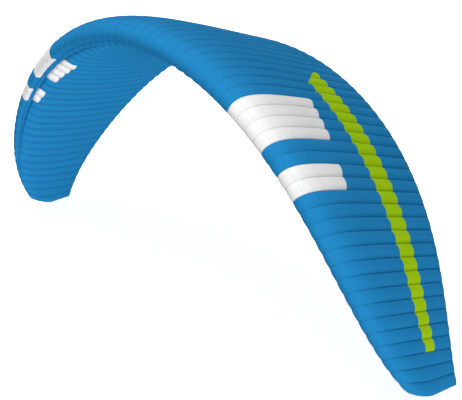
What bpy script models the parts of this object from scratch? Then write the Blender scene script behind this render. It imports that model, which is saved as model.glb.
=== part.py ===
"""Paraglider wing: an inflated, arched double-skin wing of 71 cells, standing on its two tips.

The span runs along X, the nose points to -Y, and Z is up. All sizes are in metres.
Run with: blender --background --python part.py
"""

from math import cos, hypot, radians, sin, sqrt

import bmesh
import bpy
from mathutils import Vector

# ---------------------------------------------------------------- driving dimensions

CELL_COUNT = 71              # cells from tip to tip, so 72 ribs
HALF_SPAN = 6.15             # from the middle to a tip, measured along the arch
ROOT_CHORD = 2.50            # nose to trailing edge in the middle
PITCH = radians(12.0)        # nose-up turn that brings the weight over the tips

# Arch: the slope of the span grows evenly towards the tips, and eases off in the last cells.
ARCH_SLOPE = radians(73.6)
ARCH_EASE = radians(5.2)
ARCH_STEPS = 120             # steps in which the arch is summed up

# Plan shape, by the distance u from the middle (0) to a tip (1).
CHORD_TAPER = (0.413, 0.285)             # shares of the root chord lost with u^2 and u^4
NOSE_SWEEP = (0.90, -0.12, 0.50)         # lengths by which the nose runs back with u^2, u^4 and u^8
TWIST = (radians(3.5), radians(-6.5))    # nose-up twist with u^2 and u^4
TWIST_CENTRE = 0.30                      # share of the chord that the twist turns about
CELL_SPREAD = 0.084                      # how much wider the middle cells are than the tip cells

# Rib profile, in chords: each side is a part of the thickness curve, moved by a part of a hump.
UPPER_SHAPE = (1.55, -0.068)             # share of the curve, share of the hump
LOWER_SHAPE = (-0.60, -0.017)
HUMP_PLACE = 0.40                        # place of the hump's top along the chord
UPPER_STATIONS = (1.0, 0.97, 0.89, 0.77, 0.64, 0.50, 0.37, 0.25, 0.155, 0.08, 0.035, 0.010)
LOWER_STATIONS = (0.155, 0.25, 0.37, 0.50, 0.64, 0.77, 0.89, 0.97, 1.0)
# The nose hooks down in front of the band, so that the underside has a hollow there.
NOSE_ROWS = (
    # share of the chord, height, fullness of the billow
    (0.000, 0.0050, 0.30),     # nose tip
    (0.003, -0.0150, 0.28),    # under the nose
    (0.013, -0.0310, 0.22),    # chin
    (0.030, -0.0300, 0.18),    # throat
    (0.045, -0.0345, 0.22),    # front lip
    (0.078, -0.0480, 0.22),    # rear lip
)
NOSE_HEIGHT = NOSE_ROWS[0][1]
LIP_SHARE, LIP_HEIGHT, _ = NOSE_ROWS[-1]
LIP_DRAW = (0.76, 2.2)       # towards the tips the lip loses this share of its reach, with u^2.2
DRAW_END = 0.37              # share of the chord where the cloth behind the lip has evened this out
FRONT_LIP = len(UPPER_STATIONS) + 4      # place of the front lip in the whole outline
REAR_LIP = FRONT_LIP + 1

# Cloth and inflation.
SKIN = 0.002                 # thickness of a sheet
SEAM_GAP = 0.0009            # clearance between neighbouring pieces
TAIL_HALF = SKIN + SEAM_GAP / 2
BILLOW = 0.13                # height of a cell's crown, as a share of the cell's width
NOSE_FULLNESS = 0.32         # billow of the upper skin at the nose, growing over NOSE_FADE of the chord
NOSE_FADE = 0.30
LOWER_FULLNESS = 0.80

# Tips.
TIP_FULLNESS = 0.32          # thickness of the last profile, as a share of a full one
TIP_BLEND_CELLS = 3.0        # the last cells, which reach down to the foot line
TIP_ROUND_STEP = 0.12        # an extra row close to the tip, in cells, that rounds it
TIP_GAP = 0.0005             # clearance between the skins and the tip rib
FOOT_DEPTH = 3.73            # depth of the foot below the nose in the middle, when pitched
# Foot line: height above the ground along the tip's chord, flat where the wing stands.
FOOT_LINE = (
    # share of the chord, height
    (0.0, 0.155),
    (0.08, 0.118),
    (0.16, 0.084),
    (0.26, 0.050),
    (0.37, 0.020),
    (0.47, 0.0),
    (0.70, 0.0),
    (0.88, 0.0),
    (1.0, 0.0),
)
TIP_NOSE_HALF = 0.003        # half width of the tip rib's ends

BLUE = (0.014, 0.24, 0.56, 1.0)
DEEP_BLUE = (0.010, 0.19, 0.46, 1.0)
FABRIC_ROUGHNESS = 0.55


# ---------------------------------------------------------------- rib profile

def profile_height(x, shape):
    """Height of one side of the profile at chord share x, in chords."""
    curve = 0.2969 * sqrt(x) - 0.1260 * x - 0.3516 * x ** 2 + 0.2843 * x ** 3 - 0.1036 * x ** 4
    reach = HUMP_PLACE if x < HUMP_PLACE else 1.0 - HUMP_PLACE
    hump = 1.0 - ((x - HUMP_PLACE) / reach) ** 2
    return shape[0] * curve + shape[1] * hump


def middle_height(x):
    return (profile_height(x, UPPER_SHAPE) + profile_height(x, LOWER_SHAPE)) / 2


def rib_outline():
    """The whole outline, tail over nose to tail: (share of the chord, height, fullness, side)."""
    rows = []
    for x in UPPER_STATIONS:
        fullness = NOSE_FULLNESS + (1.0 - NOSE_FULLNESS) * min(x / NOSE_FADE, 1.0)
        rows.append((x, profile_height(x, UPPER_SHAPE), fullness * (x < 1.0), 1))
    rows += [(*row, -1) for row in NOSE_ROWS]
    for x in LOWER_STATIONS:
        rows.append((x, profile_height(x, LOWER_SHAPE), LOWER_FULLNESS * (x < 1.0), -1))
    return rows


OUTLINE = rib_outline()


def outline_normal(index):
    """Outward direction of the outline at a row, from its two neighbours."""
    x, _, _, side = OUTLINE[index]
    if x == 1.0:
        return 0.0, float(side)
    before, after = OUTLINE[index - 1], OUTLINE[index + 1]
    run, rise = after[0] - before[0], after[1] - before[1]
    length = hypot(run, rise)
    return rise / length, -run / length


def drawn_forward(index, u):
    """Chord share and height of an outline row, whose lip is drawn forward towards the tips."""
    x, height, _, side = OUTLINE[index]
    draw = 1.0 - LIP_DRAW[0] * u ** LIP_DRAW[1]
    if side > 0 or x >= DRAW_END:
        return x, height
    lip = LIP_SHARE * draw
    if x > LIP_SHARE:
        moved = lip + (x - LIP_SHARE) / (DRAW_END - LIP_SHARE) * (DRAW_END - lip)
        return moved, profile_height(moved, LOWER_SHAPE)
    depth = (profile_height(lip, LOWER_SHAPE) - NOSE_HEIGHT) / (LIP_HEIGHT - NOSE_HEIGHT)
    return x * draw, NOSE_HEIGHT + (height - NOSE_HEIGHT) * depth


# ---------------------------------------------------------------- wing surface

def span_share(station):
    """Distance from the middle (0) to the tip (1) of a station, counted in cells from the tip."""
    t = 1.0 - station / (CELL_COUNT / 2)
    return t + CELL_SPREAD * (t - t ** 3)


def arch_slope(u):
    return ARCH_SLOPE * u - ARCH_EASE * u ** 7


def rib_frame(station):
    """Reach, drop, slope, chord, sweep and twist of the profile at a station."""
    u = span_share(station)
    step = u / ARCH_STEPS
    slopes = [arch_slope((k + 0.5) * step) for k in range(ARCH_STEPS)]
    reach = HALF_SPAN * step * sum(cos(a) for a in slopes)
    drop = HALF_SPAN * step * sum(sin(a) for a in slopes)
    chord = ROOT_CHORD * (1.0 - CHORD_TAPER[0] * u ** 2 - CHORD_TAPER[1] * u ** 4)
    sweep = NOSE_SWEEP[0] * u ** 2 + NOSE_SWEEP[1] * u ** 4 + NOSE_SWEEP[2] * u ** 8
    twist = TWIST[0] * u ** 2 + TWIST[1] * u ** 4
    return reach, drop, arch_slope(u), chord, sweep, twist


def tip_fullness(station):
    """Share of the full thickness: the last cell closes in a quarter round."""
    if station >= 1.0:
        return 1.0
    return TIP_FULLNESS + (1.0 - TIP_FULLNESS) * sqrt(1.0 - (1.0 - station) ** 2)


def crown_height(station):
    """Height of the billow at a station: none on a rib, all in the middle of a cell."""
    first = int(station)
    width = HALF_SPAN * (span_share(first) - span_share(first + 1))
    share = station - first
    return BILLOW * width * 4.0 * share * (1.0 - share)


def placed(frame, x, forward, across):
    """The point of a profile that lies across its chord at share x, moved forward along it."""
    reach, drop, slope, chord, sweep, twist = frame
    along = (x - TWIST_CENTRE) * chord + forward
    back = along * cos(twist) + across * sin(twist) + TWIST_CENTRE * chord + sweep
    out = across * cos(twist) - along * sin(twist)
    up = out * cos(slope) - drop
    return Vector((
        reach + out * sin(slope),
        back * cos(PITCH) + up * sin(PITCH),
        up * cos(PITCH) - back * sin(PITCH) + FOOT_DEPTH,
    ))


def surface_point(station, index, frame):
    """A point of the outside of the wing, before the tip is brought down to its foot line."""
    _, _, fullness, side = OUTLINE[index]
    x, height = drawn_forward(index, span_share(station))
    size = frame[3] * tip_fullness(station)
    billow = crown_height(station) * fullness
    along, upward = outline_normal(index)
    across = height * size
    if x > HUMP_PLACE:
        middle = middle_height(x) * size
        across = middle + side * max(side * (across - middle), TAIL_HALF)
    return placed(frame, x, along * billow, across + upward * billow)


def foot_height(x):
    """Height of the foot line at chord share x, straight between its rows."""
    for (x0, z0), (x1, z1) in zip(FOOT_LINE, FOOT_LINE[1:]):
        if x <= x1:
            return z0 + (z1 - z0) * (x - x0) / (x1 - x0)
    return FOOT_LINE[-1][1]


def wing_row(station):
    """The outline's points at one station. The last cells reach down and end on the foot line."""
    frame = rib_frame(station)
    tip_frame = rib_frame(0.0)
    pull = max(0.0, 1.0 - station / TIP_BLEND_CELLS) ** 2
    row = []
    for index in range(len(OUTLINE)):
        point = surface_point(station, index, frame)
        foot = foot_height(drawn_forward(index, 1.0)[0]) + SKIN + TIP_GAP
        point.z += pull * (foot - surface_point(0.0, index, tip_frame).z)
        row.append(point)
    return row


def half_wing():
    """All stations from the tip to the middle, two to a cell, and how far back their middle is."""
    stations = [k / 2 for k in range(CELL_COUNT + 1)]
    stations.insert(1, TIP_ROUND_STEP)
    rows = [wing_row(station) for station in stations]
    backs = [point.y for row in rows for point in row]
    return rows, (min(backs) + max(backs)) / 2


# ---------------------------------------------------------------- Blender objects

def clear_scene():
    for thing in list(bpy.data.objects):
        bpy.data.objects.remove(thing, do_unlink=True)


def fabric(name, colour):
    material = bpy.data.materials.new(name)
    material.use_nodes = True
    shader = material.node_tree.nodes["Principled BSDF"]
    shader.inputs["Base Color"].default_value = colour
    shader.inputs["Roughness"].default_value = FABRIC_ROUGHNESS
    shader.inputs["Metallic"].default_value = 0.0
    return material


def grid_object(name, rows, material, collection):
    """A sheet with one grid corner for each point of rows, moved to its place."""
    bm = bmesh.new()
    across, along = len(rows) - 1, len(rows[0]) - 1
    bmesh.ops.create_grid(bm, x_segments=across, y_segments=along, size=0.5)
    for corner in bm.verts:
        row = round((corner.co.x + 0.5) * across)
        column = round((corner.co.y + 0.5) * along)
        corner.co = rows[row][column]
    mesh = bpy.data.meshes.new(name)
    bm.to_mesh(mesh)
    bm.free()
    mesh.materials.append(material)
    piece = bpy.data.objects.new(name, mesh)
    collection.objects.link(piece)
    return piece


def make_skin(name, wing_rows, first, last, material, collection):
    """A skin over the whole span between two rows of the outline: half of it, mirrored."""
    rows = [row[first:last + 1] for row in wing_rows]
    for row in rows:
        trim_front = (row[1] - row[0]).normalized() * SEAM_GAP / 2
        trim_back = (row[-2] - row[-1]).normalized() * SEAM_GAP / 2
        row[0] = row[0] + trim_front
        row[-1] = row[-1] + trim_back
    for point in rows[-1]:
        point.x = 0.0
    piece = grid_object(name, rows, material, collection)
    mirror = piece.modifiers.new("other_half", "MIRROR")
    mirror.merge_threshold = 0.00001
    cloth = piece.modifiers.new("cloth", "SOLIDIFY")
    cloth.thickness = SKIN
    cloth.offset = -1.0
    return piece


def make_tip_rib(name, hand, middle_back, material, collection):
    """The profile that closes a tip, under the ends of both skins: a lens along the foot line."""
    frame = rib_frame(0.0)
    size = frame[3] * TIP_FULLNESS
    rows = []
    for x, height in FOOT_LINE:
        middle = middle_height(x)
        half = max((profile_height(x, UPPER_SHAPE) - middle) * size, TIP_NOSE_HALF)
        row = []
        for side in (1, -1):
            point = placed(frame, x, 0.0, middle * size + side * half)
            row.append(Vector((hand * point.x, point.y - middle_back, height)))
        rows.append(row)
    piece = grid_object(name, rows, material, collection)
    bm = bmesh.new()
    bm.from_mesh(piece.data)
    top = bmesh.ops.extrude_face_region(bm, geom=bm.faces[:])["geom"]
    corners = [part for part in top if isinstance(part, bmesh.types.BMVert)]
    bmesh.ops.translate(bm, vec=(0.0, 0.0, SKIN), verts=corners)
    bmesh.ops.recalc_face_normals(bm, faces=bm.faces)
    bm.to_mesh(piece.data)
    bm.free()
    return piece


def main():
    clear_scene()
    wing = bpy.data.collections.new("paraglider_wing")
    bpy.context.scene.collection.children.link(wing)
    sail = fabric("sail_fabric", BLUE)
    trim = fabric("trim_fabric", DEEP_BLUE)
    rows, middle_back = half_wing()
    for row in rows:
        for point in row:
            point.y -= middle_back
    make_skin("upper_skin", rows, 0, FRONT_LIP, sail, wing)
    make_skin("intake_band", rows, FRONT_LIP, REAR_LIP, trim, wing)
    make_skin("lower_skin", rows, REAR_LIP, len(OUTLINE) - 1, sail, wing)
    make_tip_rib("tip_rib_right", 1, middle_back, trim, wing)
    make_tip_rib("tip_rib_left", -1, middle_back, trim, wing)


main()
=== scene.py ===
"""Looks of an inflated, arched paraglider wing: sewn sailcloth, colour panels, light and camera.

The wing lies on a cutting table first. There, a is counted in cells from the middle of the span and
w runs round the profile: +1 is the trailing edge on top, 0 the nose and -1 the trailing edge below.
The share of the chord is w squared. Panels are cut on the table and then moved to the inflated shape.
Sizes are in metres, +X runs along the span, the nose points to -Y and Z is up.
"""

from collections import namedtuple
from math import ceil, copysign, cos, floor, hypot, pi, radians, sin, sqrt

import bmesh
import bpy
from mathutils import Matrix, Vector


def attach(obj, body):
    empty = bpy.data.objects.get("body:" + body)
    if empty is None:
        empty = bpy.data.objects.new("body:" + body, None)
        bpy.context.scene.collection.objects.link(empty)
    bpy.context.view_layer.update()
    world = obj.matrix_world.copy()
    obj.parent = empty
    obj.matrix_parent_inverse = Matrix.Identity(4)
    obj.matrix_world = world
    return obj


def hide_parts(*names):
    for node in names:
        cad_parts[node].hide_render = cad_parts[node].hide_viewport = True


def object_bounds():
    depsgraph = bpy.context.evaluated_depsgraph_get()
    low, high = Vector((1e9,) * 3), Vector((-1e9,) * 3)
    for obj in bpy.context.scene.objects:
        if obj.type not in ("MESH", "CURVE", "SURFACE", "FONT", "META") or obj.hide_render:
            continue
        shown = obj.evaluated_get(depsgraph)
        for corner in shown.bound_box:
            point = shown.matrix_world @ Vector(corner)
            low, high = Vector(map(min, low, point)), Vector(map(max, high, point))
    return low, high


bl_info = {
    "name": "Paraglider Wing Looks",
    "version": (1, 0, 0),
    "blender": (4, 5, 0),
    "location": "View3D > Sidebar > Wing",
    "description": "Sews the sail, its intake band and its colour panels, and sets the stage",
    "category": "Object",
}

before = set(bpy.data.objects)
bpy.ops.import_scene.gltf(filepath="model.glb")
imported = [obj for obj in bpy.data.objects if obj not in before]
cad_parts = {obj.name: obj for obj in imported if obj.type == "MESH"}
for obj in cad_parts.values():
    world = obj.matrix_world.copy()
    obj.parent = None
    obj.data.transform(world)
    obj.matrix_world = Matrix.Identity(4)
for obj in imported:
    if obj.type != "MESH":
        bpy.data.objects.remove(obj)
CAD_BOX = [list(corner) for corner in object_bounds()]
BODY = "root"

# ---------------------------------------------------------------- shape of the wing

CELLS = 71
MIDDLE = CELLS / 2                       # cells from the middle to a tip
ARCH_SLOPE = radians(73.6)               # slope of the span grows evenly, and eases off at the tips
ARCH_EASE = radians(5.2)
ARCH_STEPS = 120                         # steps in which the arch is added up from the middle
CHORD_TAPER = (0.413, 0.285)             # shares of the root chord lost with u^2 and u^4
NOSE_SWEEP = (0.90, -0.12, 0.50)         # lengths the nose runs back with u^2, u^4 and u^8
TWIST = (radians(3.5), radians(-6.5))    # turn of the profile gained with u^2 and u^4
TWIST_CENTRE = 0.30                      # share of the chord about which it turns
CELL_SPREAD = 0.084                      # how much wider the cells are in the middle of the span
PITCH = radians(12.0)                    # the whole wing leans this far nose down
FOOT_DEPTH = 3.73                        # from the middle of the nose line down to the ground

# Shares of sqrt(x), x, x^2, x^3 and x^4 in the thickness curve, x being the share of the chord.
THICKNESS_CURVE = (0.2969, -0.1260, -0.3516, 0.2843, -0.1036)
UPPER_SHAPE = (1.55, -0.068)             # shares of the thickness curve and of the hump
LOWER_SHAPE = (-0.60, -0.017)
HUMP_PLACE = 0.40                        # share of the chord where the hump is highest
NOSE_TOP = 0.10                          # w where the nose curve takes over from the upper formula
NOSE_END = -sqrt(0.155)                  # w where the lower formula takes over again
KNOT_ABOVE = 0.20                        # w of the knots outside the nose curve that steer its ends
KNOT_BELOW = -0.5
FRONT_LIP = -sqrt(0.045)                 # w of the seams before and behind the intake band
REAR_LIP = -sqrt(0.078)
NORMAL_STEP = 0.004                      # step in w for the outward direction
NORMAL_END = 0.985                       # w past which the direction stays as it is
# The nose curve: it hooks down in front of the band, so that the underside is hollow there.
NoseRow = namedtuple("NoseRow", "share height fullness")
NOSE_ROWS = (
    NoseRow(0.000, 0.0050, 0.24),        # nose tip
    NoseRow(0.003, -0.0150, 0.20),       # under the nose
    NoseRow(0.013, -0.0310, 0.14),       # chin
    NoseRow(0.030, -0.0300, 0.12),       # throat
    NoseRow(0.045, -0.0345, 0.24),       # front lip
    NoseRow(0.078, -0.0480, 0.34),       # rear lip
)
# Towards the tips the lip is drawn forward to the nose, and the cloth behind it evens this out.
LIP_DRAW = (0.76, 2.2)                   # share of its reach that the lip loses, and the power of u
LIP_SHARE = NOSE_ROWS[-1].share
DRAW_END = 0.37                          # share of the chord where the cloth has evened this out
LIP_PINCH = 0.75                         # share of the lip's rise that is left at the ribs
NOSE_FULLNESS = 0.26                     # share of the full billow at the nose
UPPER_FULLNESS = 1.30                    # on top, behind the nose
LOWER_FULLNESS = 1.50                    # on the underside
NOSE_FADE = 0.30                         # share of the chord where the upper sail has its full billow
NOSE_TIP_GAIN = 0.35                     # how much fuller the nose is at the tips than in the middle
TAIL_ROLL = 0.055                        # share of the chord in which the crowns roll down at the tail
GROOVE_END = -0.37                       # w where the groove behind the lip has run out
GROOVE_DEPTH = 0.034                     # how far the cloth is drawn in there, in chords
GROOVE_LEAN = 0.45                       # below 1 it is deepest close behind the lip

SEAM_GAP = 0.0009                        # between two sheets that are sewn together
TIP_FULLNESS = 0.32                      # share of the profile's height left at the tip rib
TIP_BLEND_CELLS = 3.0                    # cells in which the tip comes down to its foot line
TIP_GAP = 0.0005                         # between the sails and a tip rib
# The lower edge of a tip: heights above the ground at shares of the tip's chord.
FootRow = namedtuple("FootRow", "share height")
FOOT_LINE = (
    FootRow(0.0, 0.155),
    FootRow(0.08, 0.118),
    FootRow(0.16, 0.084),
    FootRow(0.26, 0.050),
    FootRow(0.37, 0.020),
    FootRow(0.47, 0.0),
    FootRow(1.0, 0.0),
)

# ---------------------------------------------------------------- colour panels

# A panel is cut on the table along the straight lines between its corners, on both half-wings.
Panel = namedtuple("Panel", "name cloth corners")


def corner(cells, share, side=1):
    """A corner on the table, so many cells from the tip, at a share of the chord."""
    return MIDDLE - cells, side * sqrt(share)


UPPER_PANELS = (
    Panel("white_bar_wide", "white", (
        corner(23, 0.0475, -1), corner(19, 0.0475, -1), corner(19, 0.42), corner(23, 0.49))),
    Panel("white_bar_narrow", "white", (
        corner(17, 0.0475, -1), corner(15, 0.0475, -1), corner(15, 0.33), corner(17, 0.37))),
    Panel("green_stripe", "green", (
        corner(25, 0.61), corner(3, 0.56), corner(3, 0.71), corner(27, 0.77))),
)
LOWER_PANELS = (
    Panel("white_tongue_wide", "white", (
        corner(23, 0.19, -1), corner(19, 0.15, -1), corner(19, 0.07, -1), corner(23, 0.07, -1))),
    Panel("white_tongue_narrow", "white", (
        corner(17, 0.14, -1), corner(15, 0.125, -1), corner(15, 0.07, -1), corner(17, 0.07, -1))),
)

# Sewn lines that run along the span on top, as shares of the chord.
SPAN_SEAMS = (0.026, 0.085, 0.165)

# ---------------------------------------------------------------- cutting table

SAME_PLACE = 1e-6                        # places nearer to each other than this are one
LOWER_SAVING = 2                         # fewer faces across a cell of the lower sail
TAIL_ROWS = (0.9825, 0.9875, 0.992, 0.9955, 0.998)      # w of the rows where the crowns roll down
TAIL_ROWS_START = 0.978
GROOVE_ROWS = (0.072, 0.056, 0.042, 0.030, 0.020, 0.012, 0.005)   # distance in w behind the rear lip
CUT_MARGIN = (0.6, 0.05)                 # cells and w round a panel that a cut may touch
CUT_SNAP = 0.0002                        # a corner this near to a cut is moved onto it
NOSE_GIRTH = 0.12                        # length that the curve round the nose adds, in chords

# ---------------------------------------------------------------- cloth

CELL_WIDTH = 0.173           # typical width of a cell, in metres
TYPICAL_CHORD = 2.2          # turns metres into shares of the chord
SEAM_HALF = 0.0025           # half width of a sewn line
SEAM_SOFT = 0.001            # width of its soft edge
SPAN_SEAM_SOFT = 0.0005      # the same for a line along the span, as a share of the chord
SEAM_DARK = 0.15             # how much darker the sewn line is than the cloth
SEAM_SUNK = 0.0004           # how deep it lies in the cloth, and how high its stitches stand
VALLEY_SHADE_REACH = 0.020         # how far the painted shade in the valley reaches on each side of a rib's seam
VALLEY_PAINTED_SHADE = 0.20           # how much darker the painted shade makes the full cells, and less so at the nose
VALLEY_SHADE_NOSE = 0.2            # share of it at the nose
VALLEY_SHADE_FADE = (0.15, 0.45)   # w between which it grows from the nose to the full cells
TAIL_SHADE_SHARE = 0.022            # width of the painted shade along the tail, where the crowns roll down, as a share of the chord
# how much darker the painted shade along the tail makes the cloth
TAIL_PAINTED_SHADE = 0.22
THREAD_HALF = 0.0004         # half width of a ripstop thread
THREAD_SOFT = 0.0003
THREAD_DARK = 0.06
THREAD_HEIGHT = 0.00006
TONE = (0.975, 1.025)        # darkest and lightest that the cloth gets from place to place
TONE_SCALE = 2.5             # how fine the noise is that the tone follows
TONE_RANGE = (0.3, 0.7)      # values of the noise that give the darkest and the lightest
PUCKER_SCALE = (9.0, 55.0, 1.0)   # puckers to a metre along and across the span
PUCKER_REACH = (0.004, 0.035)     # distance from a seam where they start to fade, and the fade's width
PUCKER_HEIGHT = 0.0012
BUMP_STRENGTH = 0.6
ROUGH_SPREAD = 0.08          # how much the roughness varies from place to place
TIP_THREAD = 0.9             # tone of the grid on the tip ribs
TIP_THREAD_HEIGHT = 0.0001
TIP_BUMP_STRENGTH = 0.5
NODE_START = (-2600, 500)    # where the first node stands in the shader editor
NODE_STEP = (170, 260)
NODE_ROWS = 4
FINISH = {"Roughness": 0.72, "Sheen Weight": 0.01, "Sheen Roughness": 0.5, "Specular IOR Level": 0.06}

# ---------------------------------------------------------------- stage

CAMERA_PLACE = (13.553, -9.112, 7.003)
CAMERA_AZIMUTH = radians(55.26)          # turn of the view about Z
CAMERA_TILT = radians(-19.83)            # look-down
CAMERA_ROLL = radians(-3.98)
CAMERA_LENS = 94.2
SENSOR_WIDTH = 36.0
VIEW_DISTANCES = (0.1, 300.0)            # nearest and farthest that the camera sees

STUDIO_RADIUS = 90.0                     # of the floor and the dome over it
STUDIO_SEGMENTS = 64
FLOOR_COLOUR = (0.90, 0.90, 0.90)
FLOOR_GLOW = 0.80                        # evens the pale floor out to the horizon
DOME_COLOUR = (0.0, 0.0, 0.0)            # the dome shows by its glow alone
DOME_GLOW = 1.0
DOME_FOOT = 0.01                         # how far below the floor the dome may end
WALL_ROUGHNESS = 0.9
SKY_STRENGTH = 0.14                      # even light from the studio's walls and ceiling
LAMP_SOFTNESS = radians(25.0)
# Directions to the lamps: azimuth from straight ahead of the nose towards the right tip, and height.
Lamp = namedtuple("Lamp", "name azimuth height strength")
LAMPS = (
    Lamp("front_lamp", radians(34.0), radians(10.0), 1.92),
    Lamp("low_lamp", radians(92.0), radians(-48.0), 1.80),
    Lamp("top_lamp", radians(-20.0), radians(82.0), 1.80),
    Lamp("back_lamp", radians(215.0), radians(-12.0), 1.40),
)


class WingSizes(bpy.types.PropertyGroup):
    """Sizes of the wing that a user may change."""

    half_span: bpy.props.FloatProperty(
        name="Half span",
        description="From the middle of the wing to a tip, along the arch",
        default=6.15,
        min=3.0,
        unit="LENGTH",
    )
    root_chord: bpy.props.FloatProperty(
        name="Root chord",
        description="Nose to trailing edge in the middle of the wing",
        default=2.50,
        min=1.0,
        unit="LENGTH",
    )
    billow: bpy.props.FloatProperty(
        name="Billow",
        description="Height of a cell's crown, as a share of the cell's width",
        default=0.13,
        min=0.0,
        max=0.3,
        subtype="FACTOR",
    )
    cloth_thickness: bpy.props.FloatProperty(
        name="Cloth thickness",
        description="Thickness of a sheet of sailcloth with its coating, as modelled",
        default=0.002,
        min=0.0005,
        unit="LENGTH",
    )
    lip_rise: bpy.props.FloatProperty(
        name="Lip rise",
        description="How far the closed intake band stands proud between its two seams",
        default=0.040,
        min=0.0,
        unit="LENGTH",
    )
    steps_across: bpy.props.IntProperty(
        name="Steps across a cell",
        description="Faces across each cell of the upper sail",
        default=10,
        min=2,
    )
    steps_round: bpy.props.IntProperty(
        name="Steps round the profile",
        description="Faces from the nose to the trailing edge",
        default=34,
        min=8,
    )


class WingColours(bpy.types.PropertyGroup):
    """Colours of the sailcloth and sizes of its weave."""

    blue: bpy.props.FloatVectorProperty(
        name="Blue sailcloth",
        description="Colour of the main cloth",
        default=(0.016, 0.261, 0.596),
        size=3,
        min=0.0,
        max=1.0,
        subtype="COLOR",
    )
    white: bpy.props.FloatVectorProperty(
        name="White sailcloth",
        description="Colour of the bars across the nose",
        default=(0.97, 0.97, 0.97),
        size=3,
        min=0.0,
        max=1.0,
        subtype="COLOR",
    )
    green: bpy.props.FloatVectorProperty(
        name="Green sailcloth",
        description="Colour of the stripe along the span",
        default=(0.43, 0.72, 0.006),
        size=3,
        min=0.0,
        max=1.0,
        subtype="COLOR",
    )
    ripstop_pitch: bpy.props.FloatProperty(
        name="Ripstop pitch",
        description="Distance between the reinforcing threads of the weave",
        default=0.005,
        min=0.001,
        unit="LENGTH",
    )
    stitch_pitch: bpy.props.FloatProperty(
        name="Stitch pitch",
        description="Distance between the stitches of a seam",
        default=0.004,
        min=0.001,
        unit="LENGTH",
    )


# ---------------------------------------------------------------- rib profile

def profile_height(share, shape):
    """Height of one side of the profile, in chords."""
    powers = (sqrt(share), share, share ** 2, share ** 3, share ** 4)
    curve = sum(part * power for part, power in zip(THICKNESS_CURVE, powers))
    reach = HUMP_PLACE if share < HUMP_PLACE else 1.0 - HUMP_PLACE
    hump = 1.0 - ((share - HUMP_PLACE) / reach) ** 2
    return shape[0] * curve + shape[1] * hump


def upper_fullness(share):
    """Share of the full billow on top: it grows from the nose."""
    return NOSE_FULLNESS + (UPPER_FULLNESS - NOSE_FULLNESS) * min(share / NOSE_FADE, 1.0)


def nose_knots():
    """Knots of the nose curve from top to underside: (w, height, fullness)."""
    knots = []
    for w in (KNOT_ABOVE, NOSE_TOP):
        knots.append((w, profile_height(w * w, UPPER_SHAPE), upper_fullness(w * w)))
    knots += [(-sqrt(row.share), row.height, row.fullness) for row in NOSE_ROWS]
    for w in (NOSE_END, KNOT_BELOW):
        knots.append((w, profile_height(w * w, LOWER_SHAPE), LOWER_FULLNESS))
    return knots


NOSE_KNOTS = nose_knots()


def smooth_between(knots, w, column):
    """Cubic curve through a column of the knots, whose w falls from knot to knot."""
    place = 1
    while place < len(knots) - 3 and w < knots[place + 1][0]:
        place += 1
    before, start, end, after = knots[place - 1:place + 3]
    span = end[0] - start[0]
    slope_start = (end[column] - before[column]) / (end[0] - before[0]) * span
    slope_end = (after[column] - start[column]) / (after[0] - start[0]) * span
    t = (w - start[0]) / span
    return (start[column] * (2 * t ** 3 - 3 * t ** 2 + 1) + slope_start * (t ** 3 - 2 * t ** 2 + t)
            + end[column] * (3 * t ** 2 - 2 * t ** 3) + slope_end * (t ** 3 - t ** 2))


def outline_height(w):
    """Height of the outline at w, in chords."""
    if w >= NOSE_TOP:
        return profile_height(w * w, UPPER_SHAPE)
    if w <= NOSE_END:
        return profile_height(w * w, LOWER_SHAPE)
    return smooth_between(NOSE_KNOTS, w, 1)


def outline_fullness(w):
    """Share of the full billow at w: the crowns roll down at the very tail."""
    share = w * w
    into_tail = max(0.0, (share - (1.0 - TAIL_ROLL)) / TAIL_ROLL)
    tail = sqrt(max(0.0, 1.0 - into_tail ** 2))
    if w >= NOSE_TOP:
        return upper_fullness(share) * tail
    if w <= NOSE_END:
        return LOWER_FULLNESS * tail
    return smooth_between(NOSE_KNOTS, w, 2)


def outline_normal(w):
    """Outward direction of the outline: (forward to the tail, up)."""
    ahead, behind = min(w + NORMAL_STEP, NORMAL_END), max(w - NORMAL_STEP, -NORMAL_END)
    if ahead <= behind:                  # w is past the end: the last step before it
        ahead, behind = NORMAL_END, NORMAL_END - NORMAL_STEP
        if w < 0.0:
            ahead, behind = -behind, -ahead
    run = behind ** 2 - ahead ** 2
    rise = outline_height(behind) - outline_height(ahead)
    length = hypot(run, rise)
    return rise / length, -run / length


def lip_bulge(w):
    """Share of the lip rise at w: a half round between the two seams of the band."""
    if not REAR_LIP < w < FRONT_LIP:
        return 0.0
    return sin(pi * (w - REAR_LIP) / (FRONT_LIP - REAR_LIP))


def groove_share(w):
    """Share of the groove's depth at w, deepest close behind the lip."""
    if not GROOVE_END < w < REAR_LIP:
        return 0.0
    return sin(pi * ((REAR_LIP - w) / (REAR_LIP - GROOVE_END)) ** GROOVE_LEAN)


def drawn_forward(w, height, u):
    """Share of the chord and height of the outline at w, so far out along the span."""
    share = w * w
    if w >= 0.0 or share >= DRAW_END:
        return share, height
    draw = 1.0 - LIP_DRAW[0] * u ** LIP_DRAW[1]
    if share > LIP_SHARE:
        behind = (share - LIP_SHARE) / (DRAW_END - LIP_SHARE)
        share = LIP_SHARE * draw + behind * (DRAW_END - LIP_SHARE * draw)
        return share, profile_height(share, LOWER_SHAPE)
    nose = NOSE_ROWS[0].height
    lip = NOSE_ROWS[-1].height
    depth = (profile_height(LIP_SHARE * draw, LOWER_SHAPE) - nose) / (lip - nose)
    return share * draw, nose + (height - nose) * depth


# ---------------------------------------------------------------- inflated surface

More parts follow.
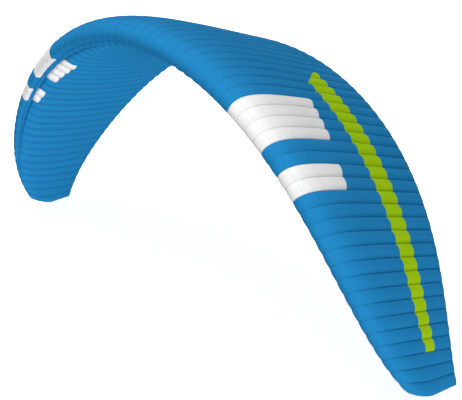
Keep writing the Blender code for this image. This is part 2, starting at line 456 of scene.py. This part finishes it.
class WingSurface:
    """Gives the inflated wing's point for each place on the cutting table."""

    def __init__(self, sizes):
        self.half_span = sizes.half_span
        self.root_chord = sizes.root_chord
        self.billow = sizes.billow
        self.thickness = sizes.cloth_thickness
        self.lip_rise = sizes.lip_rise
        self.tail_half = sizes.cloth_thickness + SEAM_GAP / 2
        self.frames = {}
        self.profiles = {}
        self.tip_heights = {}
        self.back = 0.0
        # The nose in the middle of the span starts where the box of the solids does.
        knots = [self.point(0.0, knot[0]).y for knot in NOSE_KNOTS]
        self.back = min(knots) - CAD_BOX[0][1]

    def span_share(self, cells):
        """u, the share of the half span from the middle to a place so many cells from the tip."""
        t = 1.0 - cells / MIDDLE
        return t + CELL_SPREAD * (t - t ** 3)

    def rib_frame(self, cells):
        """Reach, drop, slope, chord, sweep and twist of the profile so many cells from the tip."""
        key = round(cells, 6)
        if key not in self.frames:
            u = self.span_share(cells)
            step = u / ARCH_STEPS
            middles = [(k + 0.5) * step for k in range(ARCH_STEPS)]
            slopes = [ARCH_SLOPE * m - ARCH_EASE * m ** 7 for m in middles]
            self.frames[key] = (
                self.half_span * step * sum(cos(a) for a in slopes),
                self.half_span * step * sum(sin(a) for a in slopes),
                ARCH_SLOPE * u - ARCH_EASE * u ** 7,
                self.root_chord * (1.0 - CHORD_TAPER[0] * u ** 2 - CHORD_TAPER[1] * u ** 4),
                NOSE_SWEEP[0] * u ** 2 + NOSE_SWEEP[1] * u ** 4 + NOSE_SWEEP[2] * u ** 8,
                TWIST[0] * u ** 2 + TWIST[1] * u ** 4,
            )
        return self.frames[key]

    def profile(self, w):
        """Height, middle height, fullness, outward direction, bulge and groove of the outline at w."""
        key = round(w, 7)
        if key not in self.profiles:
            share = w * w
            middle = (profile_height(share, UPPER_SHAPE) + profile_height(share, LOWER_SHAPE)) / 2
            self.profiles[key] = (outline_height(w), middle, outline_fullness(w), outline_normal(w),
                                  lip_bulge(w), groove_share(w))
        return self.profiles[key]

    def crown(self, cells):
        """Height of the billow, and how near the place is to the middle of its cell (0 to 1)."""
        first = floor(cells + SAME_PLACE)
        width = self.half_span * (self.span_share(first) - self.span_share(first + 1))
        share = min(max(cells - first, 0.0), 1.0)
        near = 4.0 * share * (1.0 - share)
        return self.billow * width * near, near

    def tip_share(self, cells):
        """Share of the profile's height: the last cell rounds down to the tip rib."""
        if cells >= 1.0:
            return 1.0
        return TIP_FULLNESS + (1.0 - TIP_FULLNESS) * sqrt(max(0.0, 1.0 - (1.0 - cells) ** 2))

    def free_point(self, cells, w):
        """A point of the right half's surface, before the tip reaches down to its foot line."""
        reach, drop, slope, chord, sweep, twist = self.rib_frame(cells)
        height, middle, fullness, direction, bulge, groove = self.profile(w)
        u = self.span_share(cells)
        share, height = drawn_forward(w, height, u)
        size = chord * self.tip_share(cells)
        crown, near = self.crown(cells)
        fullness += NOSE_TIP_GAIN * u ** 2 * max(0.0, 1.0 - w * w / NOSE_FADE)
        lip = self.lip_rise * (1.0 - LIP_DRAW[0] * u ** LIP_DRAW[1]) * chord / self.root_chord
        rise = crown * fullness + lip * bulge * (LIP_PINCH + (1.0 - LIP_PINCH) * near)
        across = (height + GROOVE_DEPTH * groove * (1.0 - u ** 4)) * size
        if share > HUMP_PLACE:           # the two sails stay apart where the profile thins out
            side = copysign(1.0, w)
            across = middle * size + side * max(side * (across - middle * size), self.tail_half)
        across += direction[1] * rise
        along = (share - TWIST_CENTRE) * chord + direction[0] * rise
        back = along * cos(twist) + across * sin(twist) + TWIST_CENTRE * chord + sweep
        out = across * cos(twist) - along * sin(twist)
        up = out * cos(slope) - drop
        return Vector((
            reach + out * sin(slope),
            back * cos(PITCH) + up * sin(PITCH) - self.back,
            up * cos(PITCH) - back * sin(PITCH) + FOOT_DEPTH,
        ))

    def point(self, a, w):
        """The point of the whole wing for a place on the table."""
        cells = max(0.0, MIDDLE - abs(a))
        place = self.free_point(cells, w)
        pull = max(0.0, 1.0 - cells / TIP_BLEND_CELLS) ** 2
        if pull > 0.0:
            key = round(w, 7)
            if key not in self.tip_heights:
                self.tip_heights[key] = self.free_point(0.0, w).z
            share, _ = drawn_forward(w, 0.0, 1.0)
            foot = foot_height(share) + self.thickness + TIP_GAP
            place.z += pull * (foot - self.tip_heights[key])
        if a < 0.0:
            place.x = -place.x
        return place


def foot_height(share):
    """Height of the foot line at a share of the tip's chord."""
    for start, end in zip(FOOT_LINE, FOOT_LINE[1:]):
        if share <= end.share:
            rise = end.height - start.height
            return start.height + rise * (share - start.share) / (end.share - start.share)
    return FOOT_LINE[-1].height


# ---------------------------------------------------------------- cutting and sewing

def cell_columns(steps):
    """Places across the whole span, closer together at the ribs, where the cloth dips."""
    columns = []
    for cell in range(CELLS):
        for k in range(steps):
            columns.append(cell - MIDDLE + (1.0 - cos(pi * k / steps)) / 2)
    columns.append(MIDDLE)
    return columns


def profile_rows(low, high, steps):
    """Places round the profile from low to high, closer together at the tail and in the groove."""
    count = max(1, ceil((high - low) * steps))
    rows = [low + (high - low) * k / count for k in range(count + 1)]
    if high == 1.0:
        rows = [w for w in rows if w < TAIL_ROWS_START] + [*TAIL_ROWS, 1.0]
    if low == -1.0:
        tail = [-1.0] + [-w for w in reversed(TAIL_ROWS)]
        groove = [REAR_LIP - gap for gap in GROOVE_ROWS]
        rows = tail + [w for w in rows if -TAIL_ROWS_START < w < GROOVE_END] + groove + [high]
    return rows


def table_cloth(columns, rows):
    """A flat grid on the cutting table with a line at each column and row."""
    bm = bmesh.new()
    across, along = len(columns) - 1, len(rows) - 1
    bmesh.ops.create_grid(bm, x_segments=across, y_segments=along, size=0.5)
    for vert in bm.verts:
        column = round((vert.co.x + 0.5) * across)
        row = round((vert.co.y + 0.5) * along)
        vert.co = (columns[column], rows[row], 0.0)
    bmesh.ops.recalc_face_normals(bm, faces=bm.faces)
    if bm.faces[:][0].normal.z < 0.0:
        bmesh.ops.reverse_faces(bm, faces=bm.faces)
    return bm


def inside(place, corners):
    """Whether a place on the table is inside a convex outline that runs anticlockwise."""
    for start, end in zip(corners, corners[1:] + corners[:1]):
        turn = (end.x - start.x) * (place.y - start.y) - (end.y - start.y) * (place.x - start.x)
        if turn < 0.0:
            return False
    return True


def table_corners(panel, hand):
    """A panel's corners on the table, anticlockwise, on the right or left half-wing."""
    corners = [Vector((hand * a, w, 0.0)) for a, w in panel.corners]
    doubled = sum(
        start.x * end.y - end.x * start.y for start, end in zip(corners, corners[1:] + corners[:1]))
    if doubled < 0.0:
        corners.reverse()
    return corners


def cut_panel(bm, corners, mark):
    """Cuts the cloth along a panel's edges and marks the faces inside."""
    reach_a, reach_w = CUT_MARGIN
    low_a, high_a = min(c.x for c in corners) - reach_a, max(c.x for c in corners) + reach_a
    low_w, high_w = min(c.y for c in corners) - reach_w, max(c.y for c in corners) + reach_w
    for start, end in zip(corners, corners[1:] + corners[:1]):
        faces = []
        for face in bm.faces:
            middle = face.calc_center_median()
            if low_a < middle.x < high_a and low_w < middle.y < high_w:
                faces.append(face)
        edges = {edge for face in faces for edge in face.edges}
        verts = {vert for face in faces for vert in face.verts}
        run = end - start
        bmesh.ops.bisect_plane(
            bm,
            geom=[*verts, *edges, *faces],
            dist=CUT_SNAP,
            plane_co=start,
            plane_no=(-run.y, run.x, 0.0),
        )
    for face in bm.faces:
        if inside(face.calc_center_median(), corners):
            face.material_index = mark


def write_cloth_maps(bm, surface):
    """UV maps: sewing holds cells from the middle and w, cloth holds metres along and across."""
    sewing = bm.loops.layers.uv.new("sewing")
    cloth = bm.loops.layers.uv.new("cloth")
    for face in bm.faces:
        for loop in face.loops:
            a, w = loop.vert.co.x, loop.vert.co.y
            cells = max(0.0, MIDDLE - abs(a))
            span = copysign(surface.half_span * surface.span_share(cells), a)
            round_profile = w * abs(w) + NOSE_GIRTH * copysign(1.0 - (1.0 - abs(w)) ** 3, w)
            loop[sewing].uv = (a, w)
            loop[cloth].uv = (span, round_profile * surface.rib_frame(cells)[3])


def trimmed(w, low, high, chord):
    """w, moved off the edges of a sheet by half the seam gap."""
    gap = SEAM_GAP / 2 / chord
    if low > -1.0 and w <= low + SAME_PLACE:
        return -sqrt(w * w - gap)
    if high < 1.0 and w >= high - SAME_PLACE:
        return -sqrt(w * w + gap)
    return w


def inflate(bm, surface, low, high):
    """Moves each corner from the table to the inflated wing."""
    for vert in bm.verts:
        a, w = vert.co.x, vert.co.y
        w = trimmed(w, low, high, surface.root_chord)
        vert.co = surface.point(a, w)


def cloth_size(bm):
    """Width of the cut along the span, its greatest length in any one cell, and its area."""
    sewing, cloth = bm.loops.layers.uv["sewing"], bm.loops.layers.uv["cloth"]
    widths = []
    lengths = {}
    for face in bm.faces:
        for loop in face.loops:
            widths.append(loop[cloth].uv.x)
            lengths.setdefault(round(loop[sewing].uv.x), []).append(loop[cloth].uv.y)
    length = max(max(places) - min(places) for places in lengths.values())
    return max(widths) - min(widths), length, sum(face.calc_area() for face in bm.faces)


def finish_sheet(name, bm, material, surface):
    """Makes the piece from its inflated mesh: thickness, finish, slot and body; its flat size is worked
    out and not kept.
    """
    for face in bm.faces:
        face.smooth = True
        face.material_index = 0
    for edge in bm.edges:
        edge.smooth = not edge.is_boundary
    width, length, area = cloth_size(bm)
    mesh = bpy.data.meshes.new(name)
    bm.to_mesh(mesh)
    bm.free()
    mesh.materials.append(material)
    piece = bpy.data.objects.new(name, mesh)
    bpy.context.scene.collection.objects.link(piece)
    thick = piece.modifiers.new("thickness", "SOLIDIFY")
    thick.thickness = surface.thickness
    thick.offset = -1.0
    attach(piece, BODY)
    return piece


def sew_sheet(name, low, high, panels, steps_across, sizes, finer=1):
    """Cuts one sheet of the wing and its panels on the table and inflates them."""
    surface = WingSurface(sizes)
    rows = profile_rows(low, high, finer * sizes.steps_round)
    bm = table_cloth(cell_columns(steps_across), rows)
    cuts = [(panel, hand) for panel in panels for hand in (1, -1)]
    for mark, (panel, hand) in enumerate(cuts, start=1):
        cut_panel(bm, table_corners(panel, hand), mark)
    write_cloth_maps(bm, surface)
    inflate(bm, surface, low, high)
    for mark, (panel, hand) in enumerate(cuts, start=1):
        part = bm.copy()
        others = [face for face in part.faces if face.material_index != mark]
        bmesh.ops.delete(part, geom=others, context="FACES")
        side = "right" if hand > 0 else "left"
        finish_sheet(
            f"{panel.name}_{side}", part, bpy.data.materials[f"{panel.cloth}_sailcloth"],
            surface)
    cut_out = [face for face in bm.faces if face.material_index != 0]
    bmesh.ops.delete(bm, geom=cut_out, context="FACES")
    return finish_sheet(name, bm, bpy.data.materials["blue_sailcloth"], surface)


# ---------------------------------------------------------------- sailcloth

class NodeBench:
    """Adds nodes to a material from left to right and links them."""

    def __init__(self, material):
        self.tree = material.node_tree
        self.count = 0

    def add(self, kind, **settings):
        """A new node with its settings, placed beside the last one."""
        node = self.tree.nodes.new(kind)
        self.count += 1
        column, row = divmod(self.count, NODE_ROWS)
        node.location = (NODE_START[0] + NODE_STEP[0] * column, NODE_START[1] - NODE_STEP[1] * row)
        for key, value in settings.items():
            setattr(node, key, value)
        return node

    def plug(self, node, **sources):
        """Links or sets inputs: Base_Color is the one named Base Color, and i0 is the first."""
        for key, source in sources.items():
            name = int(key[1:]) if key[1:].isdigit() else key.replace("_", " ")
            socket = node.inputs[name]
            if isinstance(source, bpy.types.NodeSocket):
                self.tree.links.new(source, socket)
            else:
                socket.default_value = source

    def math(self, operation, first, second=0.0, third=0.0):
        """The result of one operation on up to three values."""
        node = self.add("ShaderNodeMath", operation=operation)
        self.plug(node, i0=first, i1=second, i2=third)
        return node.outputs[0]

    def ramp(self, value, source, target, kind="LINEAR"):
        """Turns the range of source into the range of target."""
        node = self.add("ShaderNodeMapRange", interpolation_type=kind)
        self.plug(node, Value=value, From_Min=source[0], From_Max=source[1],
                  To_Min=target[0], To_Max=target[1])
        return node.outputs[0]

    def line(self, distance, half_width, soft):
        """1 within half_width of a line and 0 outside, with a soft edge."""
        return self.ramp(distance, (half_width, half_width + soft), (1.0, 0.0), "SMOOTHSTEP")

    def split(self, uv_map):
        """Place on a UV map, and its first and second coordinate."""
        source = self.add("ShaderNodeUVMap", uv_map=uv_map)
        parts = self.add("ShaderNodeSeparateXYZ")
        self.tree.links.new(source.outputs[0], parts.inputs[0])
        return source.outputs[0], parts.outputs[0], parts.outputs[1]


def set_finish(shader):
    """Sets the even parts of the finish on the shader itself."""
    for socket, value in FINISH.items():
        shader.inputs[socket].default_value = value


def sailcloth(name, colour, colours):
    """Coated ripstop nylon: a fine square grid, stitched seams at the ribs and small puckers, with painted
    shade in the valleys at the ribs and along the tail.
    """
    material = bpy.data.materials.new(name)
    material.use_nodes = True
    bench = NodeBench(material)
    shader = material.node_tree.nodes["Principled BSDF"]
    _, cells, w = bench.split("sewing")
    cloth_place, along, across = bench.split("cloth")

    rib = bench.math("ABSOLUTE", bench.math("SUBTRACT", bench.math("FRACT", cells), 0.5))
    rib_distance = bench.math("MULTIPLY", rib, CELL_WIDTH)
    seams = bench.line(rib_distance, SEAM_HALF, SEAM_SOFT)
    upper_share = bench.math("MULTIPLY", w, bench.math("ABSOLUTE", w))
    for share in SPAN_SEAMS:
        away = bench.math("ABSOLUTE", bench.math("SUBTRACT", upper_share, share))
        span_seam = bench.line(away, SEAM_HALF / TYPICAL_CHORD, SPAN_SEAM_SOFT)
        seams = bench.math("MAXIMUM", seams, span_seam)

    stitch_wave = bench.math("SINE", bench.math("MULTIPLY", across, 2 * pi / colours.stitch_pitch))
    stitches = bench.math("MULTIPLY", seams, bench.math("MULTIPLY_ADD", stitch_wave, 0.5, 0.5))

    threads = None
    for place in (along, across):
        count = bench.math("DIVIDE", place, colours.ripstop_pitch)
        away = bench.math("ABSOLUTE", bench.math("SUBTRACT", bench.math("FRACT", count), 0.5))
        line = bench.line(
            bench.math("MULTIPLY", away, colours.ripstop_pitch), THREAD_HALF, THREAD_SOFT)
        threads = line if threads is None else bench.math("MAXIMUM", threads, line)

    mottle = bench.add("ShaderNodeTexNoise", noise_dimensions="3D")
    coords = bench.add("ShaderNodeTexCoord")
    bench.plug(mottle, Vector=coords.outputs["Object"], Scale=TONE_SCALE, Detail=3.0, Roughness=0.5)
    tone = bench.ramp(mottle.outputs[0], TONE_RANGE, TONE)

    # Painted shade in the valleys at the ribs, where the cells dip: weaker at the nose than on the full
    # cells.
    depth = bench.ramp(
        bench.math("ABSOLUTE", w), VALLEY_SHADE_FADE, (VALLEY_SHADE_NOSE * VALLEY_PAINTED_SHADE, VALLEY_PAINTED_SHADE))
    to_tail = bench.math("SUBTRACT", 1.0, bench.math("ABSOLUTE", upper_share))
    shade = tone
    for mark, dark in (
            (seams, SEAM_DARK),
            # painted shade in the valleys at the ribs
            (bench.line(rib_distance, 0.0, VALLEY_SHADE_REACH), depth),
            # painted shade along the tail, where the crowns roll down
            (bench.line(to_tail, 0.0, TAIL_SHADE_SHARE), TAIL_PAINTED_SHADE),
            (threads, THREAD_DARK)):
        left = bench.math("SUBTRACT", 1.0, bench.math("MULTIPLY", mark, dark))
        shade = bench.math("MULTIPLY", shade, left)
    tint = bench.add("ShaderNodeVectorMath", operation="SCALE")
    tint.inputs[0].default_value = colour
    bench.plug(tint, Scale=shade)
    bench.plug(shader, Base_Color=tint.outputs[0])

    pucker_place = bench.add("ShaderNodeMapping")
    bench.plug(pucker_place, Vector=cloth_place, Scale=PUCKER_SCALE)
    puckers = bench.add("ShaderNodeTexNoise", noise_dimensions="2D")
    bench.plug(puckers, Vector=pucker_place.outputs[0], Scale=1.0, Detail=2.0, Roughness=0.5)
    near_seam = bench.line(rib_distance, *PUCKER_REACH)
    height = bench.math(
        "MULTIPLY", bench.math("MULTIPLY", puckers.outputs[0], near_seam), PUCKER_HEIGHT)
    for mark, rise in ((threads, THREAD_HEIGHT), (seams, -SEAM_SUNK), (stitches, SEAM_SUNK)):
        height = bench.math("MULTIPLY_ADD", mark, rise, height)
    bump = bench.add("ShaderNodeBump")
    bench.plug(bump, Height=height, Distance=1.0, Strength=BUMP_STRENGTH)
    bench.plug(shader, Normal=bump.outputs[0])

    smoothest = FINISH["Roughness"] - ROUGH_SPREAD / 2
    rough = bench.math("MULTIPLY_ADD", mottle.outputs[0], ROUGH_SPREAD, smoothest)
    set_finish(shader)
    bench.plug(shader, Roughness=rough)
    return material


def tip_cloth(name, colour, colours):
    """The same cloth on the small tip ribs, which have no cloth map: its grid reads the object's place."""
    material = bpy.data.materials.new(name)
    material.use_nodes = True
    bench = NodeBench(material)
    shader = material.node_tree.nodes["Principled BSDF"]
    coords = bench.add("ShaderNodeTexCoord")
    weave = bench.add("ShaderNodeTexBrick", offset=0.0, squash=1.0)
    threads = [TIP_THREAD * part for part in colour]
    bench.plug(
        weave, Vector=coords.outputs["Object"], Scale=1.0, Brick_Width=colours.ripstop_pitch,
        Row_Height=colours.ripstop_pitch, Mortar_Size=THREAD_HALF, Color1=(*colour, 1.0),
        Color2=(*colour, 1.0), Mortar=(*threads, 1.0))
    bump = bench.add("ShaderNodeBump")
    bench.plug(
        bump, Height=weave.outputs[1], Distance=TIP_THREAD_HEIGHT, Strength=TIP_BUMP_STRENGTH)
    bench.plug(shader, Base_Color=weave.outputs[0], Normal=bump.outputs[0])
    set_finish(shader)
    return material


# ---------------------------------------------------------------- studio

def studio_wall(name, bm, colour, glow, scene):
    """A part of the studio that shows and takes shadows, and lets the lamps and the sky through."""
    mesh = bpy.data.meshes.new(name)
    bm.to_mesh(mesh)
    bm.free()
    material = bpy.data.materials.new(name)
    material.use_nodes = True
    shader = material.node_tree.nodes["Principled BSDF"]
    shader.inputs["Base Color"].default_value = (*colour, 1.0)
    shader.inputs["Roughness"].default_value = WALL_ROUGHNESS
    shader.inputs["Specular IOR Level"].default_value = 0.0
    shader.inputs["Emission Color"].default_value = (1.0, 1.0, 1.0, 1.0)
    shader.inputs["Emission Strength"].default_value = glow
    mesh.materials.append(material)
    wall = bpy.data.objects.new(name, mesh)
    wall.visible_shadow = False
    wall.visible_diffuse = False
    wall.visible_glossy = False
    scene.collection.objects.link(wall)


def add_studio(scene):
    """The pale floor, and the dome behind the wing."""
    floor_disc = bmesh.new()
    bmesh.ops.create_circle(floor_disc, cap_ends=True, segments=STUDIO_SEGMENTS, radius=STUDIO_RADIUS)
    studio_wall("studio_floor", floor_disc, FLOOR_COLOUR, FLOOR_GLOW, scene)
    dome = bmesh.new()
    bmesh.ops.create_uvsphere(
        dome, u_segments=STUDIO_SEGMENTS, v_segments=STUDIO_SEGMENTS // 2, radius=STUDIO_RADIUS)
    below = [vert for vert in dome.verts if vert.co.z < -DOME_FOOT]
    bmesh.ops.delete(dome, geom=below, context="VERTS")
    studio_wall("studio_dome", dome, DOME_COLOUR, DOME_GLOW, scene)


def add_light(scene):
    """Light from above the horizon, the lamps, and colours that are shown as they are."""
    world = bpy.data.worlds.new("studio_sky")
    world.use_nodes = True
    tree = world.node_tree
    place = tree.nodes.new("ShaderNodeTexCoord")
    parts = tree.nodes.new("ShaderNodeSeparateXYZ")
    above = tree.nodes.new("ShaderNodeMath")
    above.operation = "GREATER_THAN"
    above.inputs[1].default_value = 0.0
    strength = tree.nodes.new("ShaderNodeMath")
    strength.operation = "MULTIPLY"
    strength.inputs[1].default_value = SKY_STRENGTH
    tree.links.new(place.outputs["Generated"], parts.inputs[0])
    tree.links.new(parts.outputs[2], above.inputs[0])
    tree.links.new(above.outputs[0], strength.inputs[0])
    tree.links.new(strength.outputs[0], tree.nodes["Background"].inputs["Strength"])
    tree.nodes["Background"].inputs["Color"].default_value = (1.0, 1.0, 1.0, 1.0)
    scene.world = world
    for lamp in LAMPS:
        light = bpy.data.lights.new(lamp.name, "SUN")
        light.energy = lamp.strength
        light.angle = LAMP_SOFTNESS
        sun = bpy.data.objects.new(lamp.name, light)
        reach = cos(lamp.height)
        towards = Vector((sin(lamp.azimuth) * reach, -cos(lamp.azimuth) * reach, sin(lamp.height)))
        sun.rotation_euler = towards.to_track_quat("Z", "Y").to_euler()
        scene.collection.objects.link(sun)
    scene.view_settings.view_transform = "Standard"


def add_camera(scene):
    """The camera, ahead of the right tip and a little above the wing."""
    data = bpy.data.cameras.new("view")
    data.sensor_width = SENSOR_WIDTH
    data.lens = CAMERA_LENS
    data.clip_start, data.clip_end = VIEW_DISTANCES
    camera = bpy.data.objects.new("view", data)
    turn = (Matrix.Rotation(CAMERA_AZIMUTH, 4, "Z") @ Matrix.Rotation(pi / 2 + CAMERA_TILT, 4, "X")
            @ Matrix.Rotation(CAMERA_ROLL, 4, "Z"))
    camera.matrix_world = Matrix.Translation(CAMERA_PLACE) @ turn
    scene.collection.objects.link(camera)
    scene.camera = camera


# ---------------------------------------------------------------- operators

class WING_OT_sailcloth(bpy.types.Operator):
    """Mixes the sailcloth in its three colours"""

    bl_idname = "wing.sailcloth"
    bl_label = "Mix Sailcloth"

    def execute(self, context):
        colours = context.scene.wing_colours
        sailcloth("blue_sailcloth", tuple(colours.blue), colours)
        sailcloth("white_sailcloth", tuple(colours.white), colours)
        sailcloth("green_sailcloth", tuple(colours.green), colours)
        tip_cloth("blue_tip_cloth", tuple(colours.blue), colours)
        return {"FINISHED"}


class WING_OT_upper_sail(bpy.types.Operator):
    """Sews the upper sail from the tail over the nose to the intake band, with its panels"""

    bl_idname = "wing.upper_sail"
    bl_label = "Sew Upper Sail"

    def execute(self, context):
        sizes = context.scene.wing_sizes
        piece = sew_sheet("upper_sail", FRONT_LIP, 1.0, UPPER_PANELS, sizes.steps_across, sizes)
        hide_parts("upper_skin")
        return {"FINISHED"}


class WING_OT_lower_sail(bpy.types.Operator):
    """Sews the lower sail from the intake band to the tail, with its panels"""

    bl_idname = "wing.lower_sail"
    bl_label = "Sew Lower Sail"

    def execute(self, context):
        sizes = context.scene.wing_sizes
        piece = sew_sheet(
            "lower_sail", -1.0, REAR_LIP, LOWER_PANELS, sizes.steps_across - LOWER_SAVING, sizes)
        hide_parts("lower_skin")
        return {"FINISHED"}


class WING_OT_intake_band(bpy.types.Operator):
    """Sews the closed band under the nose, which swells between its two seams"""

    bl_idname = "wing.intake_band"
    bl_label = "Sew Intake Band"

    def execute(self, context):
        sizes = context.scene.wing_sizes
        piece = sew_sheet(
            "closed_band", REAR_LIP, FRONT_LIP, (), sizes.steps_across, sizes, finer=3)
        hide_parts("intake_band")
        return {"FINISHED"}


class WING_OT_tip_ribs(bpy.types.Operator):
    """Gives the tip ribs their cloth"""

    bl_idname = "wing.tip_ribs"
    bl_label = "Finish Tip Ribs"

    def execute(self, context):
        for node in ("tip_rib_left", "tip_rib_right"):
            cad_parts[node].material_slots[0].material = bpy.data.materials["blue_tip_cloth"]
        return {"FINISHED"}


class WING_OT_stage(bpy.types.Operator):
    """Sets the floor, the light and the camera"""

    bl_idname = "wing.stage"
    bl_label = "Set the Stage"

    def execute(self, context):
        scene = context.scene
        add_studio(scene)
        add_light(scene)
        add_camera(scene)
        return {"FINISHED"}


class WING_PT_panel(bpy.types.Panel):
    """Shows the sizes and colours of the wing, and the steps that make its pieces"""

    bl_idname = "WING_PT_panel"
    bl_label = "Paraglider Wing"
    bl_space_type = "VIEW_3D"
    bl_region_type = "UI"
    bl_category = "Wing"

    def draw(self, context):
        layout = self.layout
        for group in (context.scene.wing_sizes, context.scene.wing_colours):
            for name in group.__annotations__:
                layout.prop(group, name)
        for step in OPERATORS:
            layout.operator(step.bl_idname)


OPERATORS = (
    WING_OT_sailcloth,
    WING_OT_upper_sail,
    WING_OT_lower_sail,
    WING_OT_intake_band,
    WING_OT_tip_ribs,
    WING_OT_stage,
)
CLASSES = (WingSizes, WingColours, *OPERATORS, WING_PT_panel)


def register():
    for item in CLASSES:
        bpy.utils.register_class(item)
    bpy.types.Scene.wing_sizes = bpy.props.PointerProperty(type=WingSizes)
    bpy.types.Scene.wing_colours = bpy.props.PointerProperty(type=WingColours)


def unregister():
    del bpy.types.Scene.wing_colours
    del bpy.types.Scene.wing_sizes
    for item in reversed(CLASSES):
        bpy.utils.unregister_class(item)


def main():
    register()
    bpy.ops.wing.sailcloth()
    bpy.ops.wing.upper_sail()
    bpy.ops.wing.lower_sail()
    bpy.ops.wing.intake_band()
    bpy.ops.wing.tip_ribs()
    bpy.ops.wing.stage()


if __name__ == "__main__":
    main()
